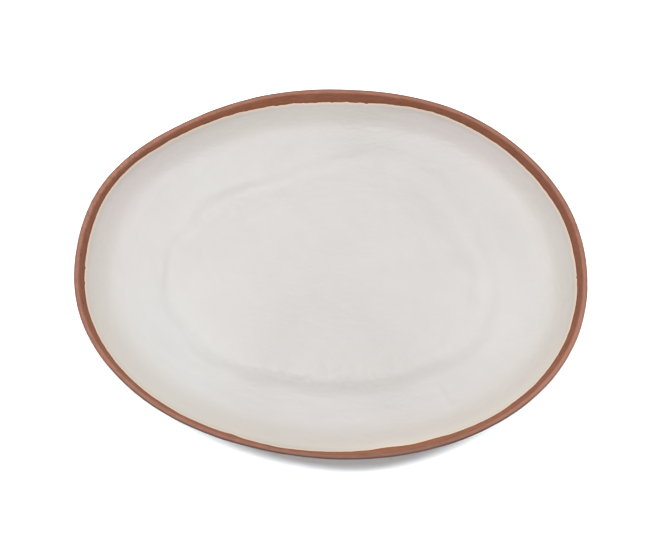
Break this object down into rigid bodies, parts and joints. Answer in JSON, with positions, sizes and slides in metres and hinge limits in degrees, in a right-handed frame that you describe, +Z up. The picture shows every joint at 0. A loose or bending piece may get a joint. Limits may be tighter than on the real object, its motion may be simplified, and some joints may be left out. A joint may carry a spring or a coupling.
{
  "type": "oval serving platter",
  "caption": "Hand-formed oval serving platter of terracotta stoneware, with an off-white glazed dish, a bare clay lip and a coiled foot ring.",
  "frame": {"origin": "on the table, under the centre of the platter's box", "axes": "+Z up out of the dish, +X along the platter's length, +Y across it, away from a person who faces a long side"},
  "size_m": [0.406, 0.302, 0.0335],
  "materials": {
    "terracotta": "bare fired clay, matt, with fine brush lines",
    "foot_clay": "bare fired clay, wiped smooth",
    "glaze": "off-white satin glaze with faint cloudy streaks"
  },
  "bodies": {
    "root": {"clay_body": "terracotta", "foot_ring": "foot_clay", "interior_glaze": "glaze"}
  },
  "joints": []
}
